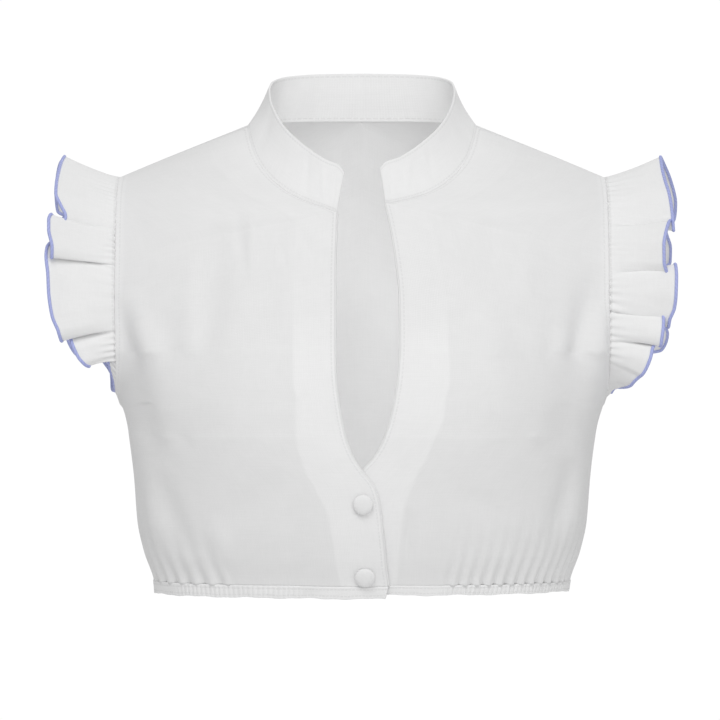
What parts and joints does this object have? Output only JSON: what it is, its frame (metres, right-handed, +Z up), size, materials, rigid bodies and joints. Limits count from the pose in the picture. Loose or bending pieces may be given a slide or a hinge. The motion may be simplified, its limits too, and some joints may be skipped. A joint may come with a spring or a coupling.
{
  "type": "dirndl blouse",
  "caption": "White cropped dirndl blouse with a stand collar, a deep front opening buttoned below, frilled armholes with a coloured rolled edge and an elastic hem.",
  "frame": {"origin": "midway between the two points where the neck seam meets the shoulder seams, where the wearer's neck and shoulders carry the blouse", "axes": "+Z up, the front faces -Y, the wearer's left is at +X"},
  "size_m": [0.5051, 0.2434, 0.4192],
  "materials": {
    "cotton_body": "matte",
    "cotton_doubled": "matte",
    "cotton_frill": "matte",
    "edging_thread": "satin",
    "covered_button": "matte"
  },
  "bodies": {
    "root": {"back": "cotton_body", "front_right": "cotton_body", "front_left": "cotton_body", "facing_right": "cotton_doubled", "facing_left": "cotton_doubled", "collar": "cotton_doubled", "ruffle_right": "cotton_frill", "ruffle_left": "cotton_frill", "ruffle_edge_right": "edging_thread", "ruffle_edge_left": "edging_thread", "armhole_binding_right": "cotton_doubled", "armhole_binding_left": "cotton_doubled", "hem_back": "cotton_doubled", "hem_front_right": "cotton_doubled", "hem_front_left": "cotton_doubled", "button_upper": "covered_button", "button_lower": "covered_button"}
  },
  "joints": []
}
